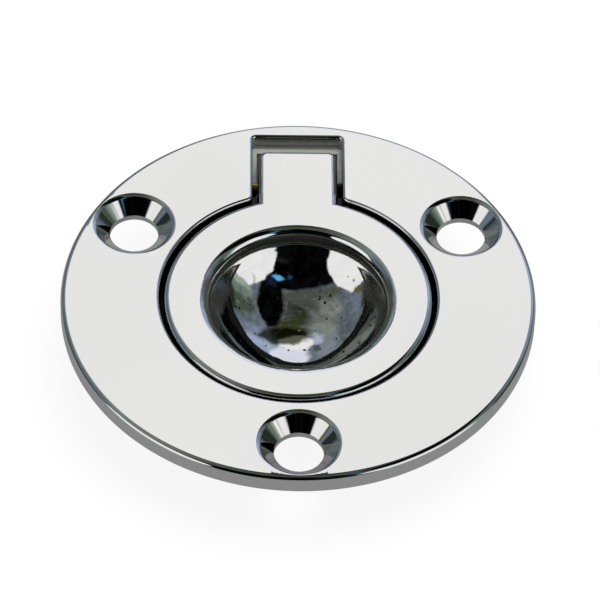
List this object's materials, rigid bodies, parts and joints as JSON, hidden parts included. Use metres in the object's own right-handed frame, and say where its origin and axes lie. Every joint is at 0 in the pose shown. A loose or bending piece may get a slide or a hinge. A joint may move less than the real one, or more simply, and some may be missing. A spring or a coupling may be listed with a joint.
{
  "type": "recessed ring pull",
  "caption": "Round flush pull: a hinged ring lies in a pocket over a finger cup and lifts on a cross pin; countersunk holes fix the flange to a panel.",
  "frame": {"origin": "centre of the screw circle, on the back of the flange", "axes": "+Z out of the panel towards the hand; +Y from the finger cup towards the hinge pin; +X completes the right-handed frame, along the pin"},
  "size_m": [0.054, 0.054, 0.0101],
  "materials": {
    "base_plate": "polished chrome plate, duller inside the slot and pocket",
    "pull_ring": "polished chrome plate",
    "hinge_pin": "plain drawn brass"
  },
  "bodies": {
    "base": {"base_plate": "base_plate", "hinge_pin": "hinge_pin"},
    "ring": {"pull_ring": "pull_ring"}
  },
  "joints": [
    {"name": "ring_hinge", "type": "hinge", "parent": "base", "child": "ring", "pos_m": [0, 0.01944, -0.0008], "axis": [-1, 0, 0], "range_deg": [0, 90]}
  ]
}
